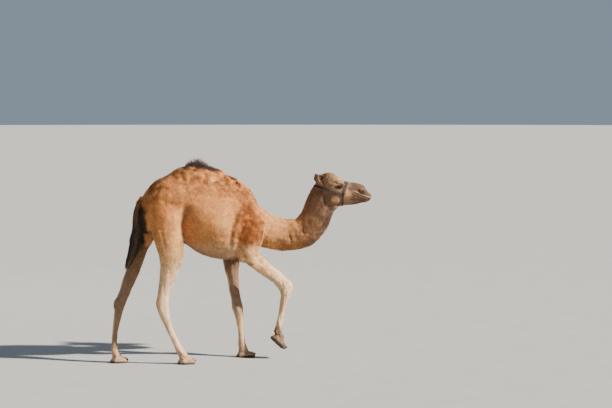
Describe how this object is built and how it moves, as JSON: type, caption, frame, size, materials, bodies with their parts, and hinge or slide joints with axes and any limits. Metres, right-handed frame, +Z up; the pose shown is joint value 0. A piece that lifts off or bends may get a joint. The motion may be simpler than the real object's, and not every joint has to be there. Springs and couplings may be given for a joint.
{
  "type": "dromedary camel",
  "caption": "A young dromedary camel in mid stride, one forefoot lifted, with a low tufted hump, a halter and its head held level; a still, life-size model.",
  "frame": {"origin": "middle of the bounding box seen from above, on the floor", "axes": "+X the way the body heads, +Y the camel's left, +Z up"},
  "size_m": [2.2462, 0.514, 1.7203],
  "materials": {
    "fleece": "short, dense, matt coat",
    "dark_wool": "long, curly, matt wool",
    "foot_pad": "thick, dry, matt skin",
    "nail": "dull horn",
    "eyeball": "wet and glossy",
    "webbing": "woven, matt"
  },
  "bodies": {
    "root": {"trunk": "fleece", "hump": "fleece", "neck": "fleece", "head": "fleece", "ear_right": "fleece", "ear_left": "fleece", "leg_front_right_upper": "fleece", "leg_front_right_lower": "fleece", "foot_front_right": "fleece", "pad_front_right": "foot_pad", "nail_front_right_outer": "nail", "nail_front_right_inner": "nail", "leg_front_left_upper": "fleece", "leg_front_left_lower": "fleece", "foot_front_left": "fleece", "pad_front_left": "foot_pad", "nail_front_left_outer": "nail", "nail_front_left_inner": "nail", "leg_hind_right_upper": "fleece", "leg_hind_right_lower": "fleece", "foot_hind_right": "fleece", "pad_hind_right": "foot_pad", "nail_hind_right_outer": "nail", "nail_hind_right_inner": "nail", "leg_hind_left_upper": "fleece", "leg_hind_left_lower": "fleece", "foot_hind_left": "fleece", "pad_hind_left": "foot_pad", "nail_hind_left_outer": "nail", "nail_hind_left_inner": "nail", "hump_tuft": "dark_wool", "tail": "dark_wool", "eye_right": "eyeball", "eye_left": "eyeball", "halter_noseband": "webbing", "halter_headstall": "webbing", "halter_knot_right": "webbing", "halter_knot_left": "webbing"}
  },
  "joints": []
}
